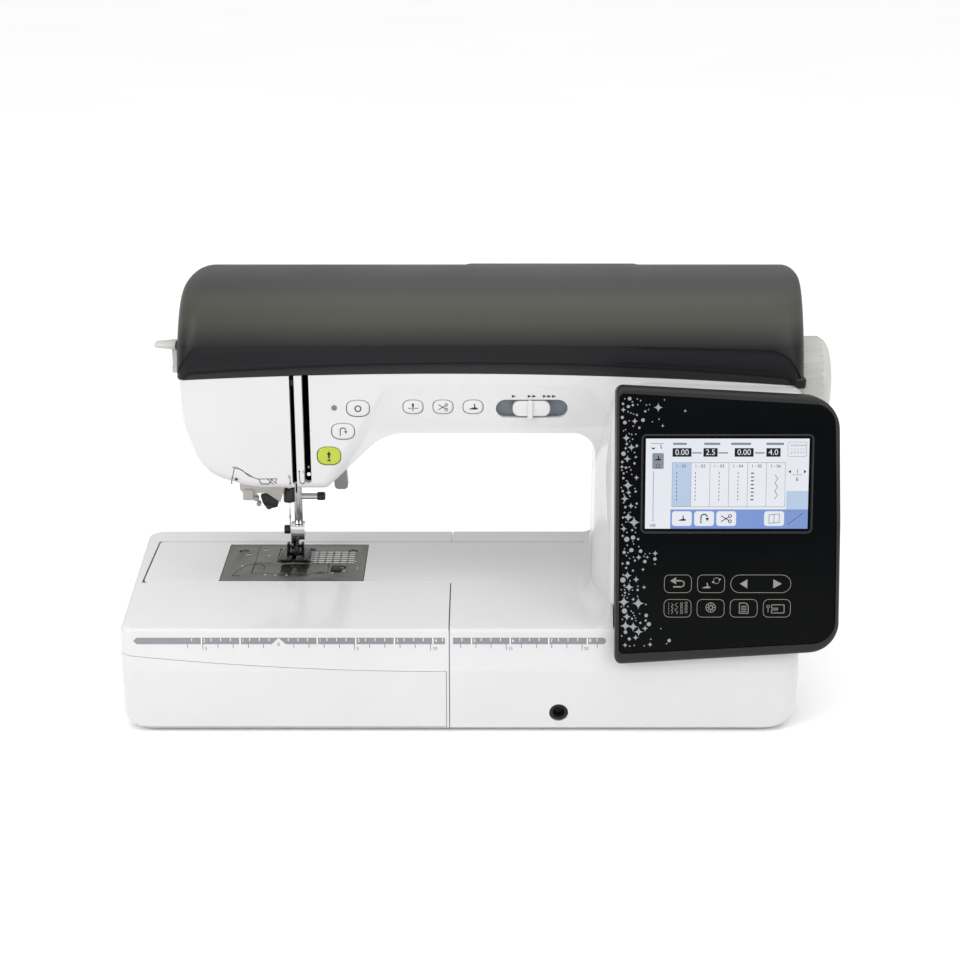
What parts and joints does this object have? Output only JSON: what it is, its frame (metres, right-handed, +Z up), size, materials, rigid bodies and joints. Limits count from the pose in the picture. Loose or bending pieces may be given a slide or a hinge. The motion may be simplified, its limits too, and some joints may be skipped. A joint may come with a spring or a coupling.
{
  "type": "sewing machine",
  "caption": "Computerised free-arm sewing machine with a slide-off flat bed, tilted touch display, drop-in bobbin, top lid, carry handle and handwheel.",
  "frame": {"origin": "bottom centre of the machine at rest, on the table under its rubber feet", "axes": "+X towards the handwheel along the bed, +Y towards the back, +Z up"},
  "size_m": [0.4856, 0.246, 0.2893],
  "materials": {
    "white_shell": "gloss",
    "dark_plastic": "satin",
    "black_gloss": "high gloss",
    "grey_plastic": "satin",
    "pale_grey": "satin",
    "lime_plastic": "gloss",
    "smoked_clear": "clear, lightly smoked",
    "screen": "lit display under clear glass",
    "rubber": "matt",
    "chrome": "polished",
    "steel": "brushed",
    "cast_metal": "as cast",
    "black_metal": "black oxide",
    "board": "solder mask"
  },
  "bodies": {
    "machine": {"base_plate": "dark_plastic", "rubber_foot_1": "rubber", "rubber_foot_2": "rubber", "rubber_foot_3": "rubber", "rubber_foot_4": "rubber", "front_cover": "white_shell", "rear_cover": "white_shell", "free_arm_cover": "white_shell", "top_tray": "dark_plastic", "panel_housing": "dark_plastic", "panel_face": "black_gloss", "lcd_screen": "screen", "circuit_board": "board", "status_lamp": "lime_plastic", "needle_plate": "steel", "bobbin_case": "black_metal", "timing_belt": "rubber", "drive_belt": "rubber", "drive_motor": "black_metal", "arm_frame": "cast_metal", "power_inlet": "dark_plastic", "spool_pin": "grey_plastic"},
    "bed_attachment": {"flatbed_attachment": "white_shell"},
    "front_door": {"accessory_door": "white_shell"},
    "top_lid": {"lid": "dark_plastic"},
    "handle": {"carry_handle": "dark_plastic"},
    "slider": {"speed_slider": "white_shell"},
    "drive": {"main_shaft": "steel", "handwheel": "pale_grey"},
    "rod": {"connecting_rod": "cast_metal"},
    "lower_drive": {"lower_shaft": "steel"},
    "hook": {"rotary_hook": "steel"},
    "bobbin_spool": {"bobbin": "smoked_clear"},
    "needle_unit": {"needle_bar": "chrome", "needle_clamp": "chrome", "needle": "chrome"},
    "clamp_screw": {"needle_clamp_screw": "black_metal"},
    "presser_unit": {"presser_bar": "chrome", "foot_holder": "chrome"},
    "shank_screw": {"holder_screw": "black_metal"},
    "foot": {"presser_foot": "chrome"},
    "lift_lever": {"presser_lever": "pale_grey"},
    "threader": {"needle_threader": "grey_plastic"},
    "threader_knob": {"threader_lever": "grey_plastic"},
    "take_up": {"take_up_lever": "chrome"},
    "feed_carrier": {"feed_bar": "cast_metal"},
    "feed_teeth": {"feed_dog": "steel"},
    "drop_feed_knob": {"feed_dog_lever": "dark_plastic"},
    "window": {"bobbin_cover": "smoked_clear"},
    "window_latch": {"bobbin_cover_latch": "dark_plastic"},
    "winder": {"bobbin_winder": "pale_grey"},
    "cap": {"spool_cap": "grey_plastic"},
    "knee_socket": {"knee_lifter_socket": "dark_plastic"},
    "rocker": {"power_switch": "dark_plastic"},
    "reinforcement_button_key": {"reinforcement_button": "white_shell"},
    "reverse_button_key": {"reverse_button": "white_shell"},
    "start_stop_button_key": {"start_stop_button": "lime_plastic"},
    "needle_position_button_key": {"needle_position_button": "white_shell"},
    "thread_cutter_button_key": {"thread_cutter_button": "white_shell"},
    "presser_lift_button_key": {"presser_lift_button": "white_shell"}
  },
  "joints": [
    {"name": "attachment_slide", "type": "slide", "parent": "machine", "child": "bed_attachment", "axis": [-1, 0, 0], "range_m": [0, 0.24]},
    {"name": "door_hinge", "type": "hinge", "parent": "bed_attachment", "child": "front_door", "pos_m": [-0.124, -0.11335, 0.0052], "axis": [1, 0, 0], "range_deg": [0, 88]},
    {"name": "lid_hinge", "type": "hinge", "parent": "machine", "child": "top_lid", "pos_m": [0.01, 0.04145, 0.2765], "axis": [-1, 0, 0], "range_deg": [0, 70]},
    {"name": "handle_hinge", "type": "hinge", "parent": "machine", "child": "handle", "pos_m": [0.053, 0.05595, 0.25], "axis": [-1, 0, 0], "range_deg": [0, 85]},
    {"name": "reinforcement_button_press", "type": "slide", "parent": "machine", "child": "reinforcement_button_key", "axis": [0, 1, 0], "range_m": [0, 0.0012], "stiffness_N_per_m": 900, "springref_m": -0.0004},
    {"name": "reverse_button_press", "type": "slide", "parent": "machine", "child": "reverse_button_key", "axis": [0, 1, 0], "range_m": [0, 0.0012], "stiffness_N_per_m": 900, "springref_m": -0.0004},
    {"name": "start_stop_button_press", "type": "slide", "parent": "machine", "child": "start_stop_button_key", "axis": [0, 1, 0], "range_m": [0, 0.0012], "stiffness_N_per_m": 900, "springref_m": -0.0004},
    {"name": "needle_position_button_press", "type": "slide", "parent": "machine", "child": "needle_position_button_key", "axis": [0, 1, 0], "range_m": [0, 0.0012], "stiffness_N_per_m": 900, "springref_m": -0.0004},
    {"name": "thread_cutter_button_press", "type": "slide", "parent": "machine", "child": "thread_cutter_button_key", "axis": [0, 1, 0], "range_m": [0, 0.0012], "stiffness_N_per_m": 900, "springref_m": -0.0004},
    {"name": "presser_lift_button_press", "type": "slide", "parent": "machine", "child": "presser_lift_button_key", "axis": [0, 1, 0], "range_m": [0, 0.0012], "stiffness_N_per_m": 900, "springref_m": -0.0004},
    {"name": "speed_slide", "type": "slide", "parent": "machine", "child": "slider", "axis": [1, 0, 0], "range_m": [-0.0105, 0.0105]},
    {"name": "handwheel_turn", "type": "hinge", "parent": "machine", "child": "drive", "pos_m": [0.215, 0.00895, 0.208], "axis": [1, 0, 0], "continuous": true},
    {"name": "rod_swing", "type": "hinge", "parent": "drive", "child": "rod", "pos_m": [-0.1155, 0.00895, 0.2245], "axis": [1, 0, 0], "continuous": true},
    {"name": "lower_shaft_turn", "type": "hinge", "parent": "machine", "child": "lower_drive", "pos_m": [0, 0.00985, 0.038], "axis": [1, 0, 0], "continuous": true},
    {"name": "hook_turn", "type": "hinge", "parent": "machine", "child": "hook", "pos_m": [-0.1319, -0.00655, 0.04], "axis": [0, 0, 1], "continuous": true},
    {"name": "bobbin_turn", "type": "hinge", "parent": "machine", "child": "bobbin_spool", "pos_m": [-0.1319, -0.00655, 0.06], "axis": [0, 0, 1], "continuous": true},
    {"name": "needle_stroke", "type": "slide", "parent": "machine", "child": "needle_unit", "axis": [0, 0, -1], "range_m": [0, 0.033]},
    {"name": "clamp_screw_turn", "type": "hinge", "parent": "needle_unit", "child": "clamp_screw", "pos_m": [-0.115, 0.00895, 0.1224], "axis": [1, 0, 0], "continuous": true},
    {"name": "presser_lift", "type": "slide", "parent": "machine", "child": "presser_unit", "axis": [0, 0, 1], "range_m": [0, 0.006]},
    {"name": "shank_screw_turn", "type": "hinge", "parent": "presser_unit", "child": "shank_screw", "pos_m": [-0.135, 0.01695, 0.094], "axis": [1, 0, 0], "continuous": true},
    {"name": "foot_pivot", "type": "hinge", "parent": "presser_unit", "child": "foot", "pos_m": [-0.1294, 0.01695, 0.081], "axis": [1, 0, 0], "range_deg": [-5, 5]},
    {"name": "lift_lever_turn", "type": "hinge", "parent": "machine", "child": "lift_lever", "pos_m": [-0.112, 0.05995, 0.164], "axis": [0, -1, 0], "range_deg": [0, 45]},
    {"name": "threader_knob_slide", "type": "slide", "parent": "machine", "child": "threader_knob", "axis": [0, 0, -1], "range_m": [0, 0.028]},
    {"name": "threader_drop", "type": "slide", "parent": "machine", "child": "threader", "axis": [0, 0, -1], "range_m": [0, 0.012]},
    {"name": "take_up_swing", "type": "hinge", "parent": "machine", "child": "take_up", "pos_m": [-0.1214, -0.00905, 0.2085], "axis": [1, 0, 0], "range_deg": [0, 30]},
    {"name": "feed_drop", "type": "slide", "parent": "machine", "child": "feed_carrier", "axis": [0, 0, -1], "range_m": [0, 0.0025]},
    {"name": "feed_stroke", "type": "slide", "parent": "feed_carrier", "child": "feed_teeth", "axis": [0, 1, 0], "range_m": [-0.002, 0.002]},
    {"name": "drop_feed_slide", "type": "slide", "parent": "machine", "child": "drop_feed_knob", "axis": [1, 0, 0], "range_m": [0, 0.014]},
    {"name": "window_slide", "type": "slide", "parent": "machine", "child": "window", "axis": [0, -0.9659, 0.2588], "range_m": [0, 0.04]},
    {"name": "latch_slide", "type": "slide", "parent": "machine", "child": "window_latch", "axis": [1, 0, 0], "range_m": [0, 0.003]},
    {"name": "winder_shift", "type": "hinge", "parent": "machine", "child": "winder", "pos_m": [0.178, 0.00695, 0.226], "axis": [0, 0, 1], "range_deg": [0, 8]},
    {"name": "cap_slide", "type": "slide", "parent": "machine", "child": "cap", "axis": [-1, 0, 0], "range_m": [0, 0.055]},
    {"name": "knee_socket_swing", "type": "hinge", "parent": "machine", "child": "knee_socket", "pos_m": [0.0553, -0.10905, 0.0143], "axis": [0, 1, 0], "range_deg": [0, 20]},
    {"name": "power_rocker", "type": "hinge", "parent": "machine", "child": "rocker", "pos_m": [0.2105, 0.07895, 0.06], "axis": [0, 1, 0], "range_deg": [0, 8]}
  ],
  "couplings": [
    {"joint": "rod_swing", "follows": "handwheel_turn", "ratio": -1},
    {"joint": "lower_shaft_turn", "follows": "handwheel_turn", "ratio": 1},
    {"joint": "hook_turn", "follows": "handwheel_turn", "ratio": 2},
    {"joint": "lift_lever_turn", "follows": "presser_lift", "rad_per_m": 130.89},
    {"joint": "threader_drop", "follows": "threader_knob_slide", "ratio": 0.4285},
    {"joint": "drop_feed_slide", "follows": "feed_drop", "ratio": 5.6}
  ]
}
